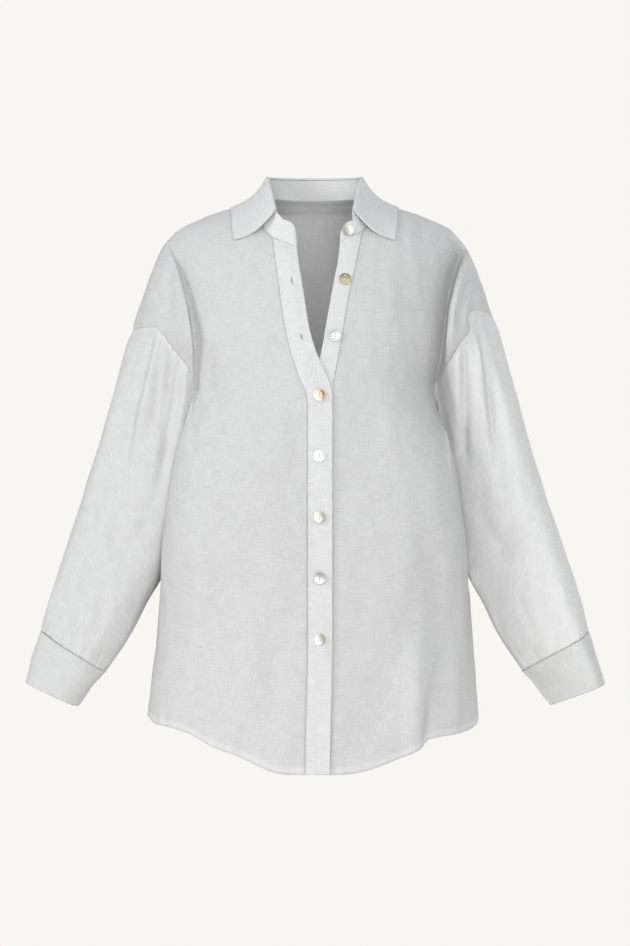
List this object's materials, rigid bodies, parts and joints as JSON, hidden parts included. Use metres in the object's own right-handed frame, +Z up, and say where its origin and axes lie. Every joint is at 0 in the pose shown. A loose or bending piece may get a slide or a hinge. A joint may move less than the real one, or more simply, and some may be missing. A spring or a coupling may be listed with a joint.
{
  "type": "long-sleeved linen shirt",
  "caption": "Relaxed linen shirt in its worn, hollow form, with open collar, drop shoulders, cuffed sleeves and curved hem.",
  "frame": {"origin": "midway between the two points where the collar meets the shoulder seams, where the wearer's shoulders hold the shirt up", "axes": "+Z up, -Y out of the front, +X towards the wearer's left side"},
  "size_m": [0.736, 0.2433, 0.7569],
  "materials": {
    "linen": "matte, slightly sheer plain weave with slubs",
    "pearl_shell": "polished mother-of-pearl with soft greenish and brown gleams"
  },
  "bodies": {
    "root": {"front_right": "linen", "front_left": "linen", "back": "linen", "sleeve_right": "linen", "sleeve_left": "linen", "cuff_right": "linen", "cuff_left": "linen", "collar_stand": "linen", "collar_leaf": "linen", "band_right": "linen", "band_left": "linen", "button_1": "pearl_shell", "button_2": "pearl_shell", "button_3": "pearl_shell", "button_4": "pearl_shell", "button_5": "pearl_shell", "button_6": "pearl_shell", "button_7": "pearl_shell", "button_8": "pearl_shell"}
  },
  "joints": []
}
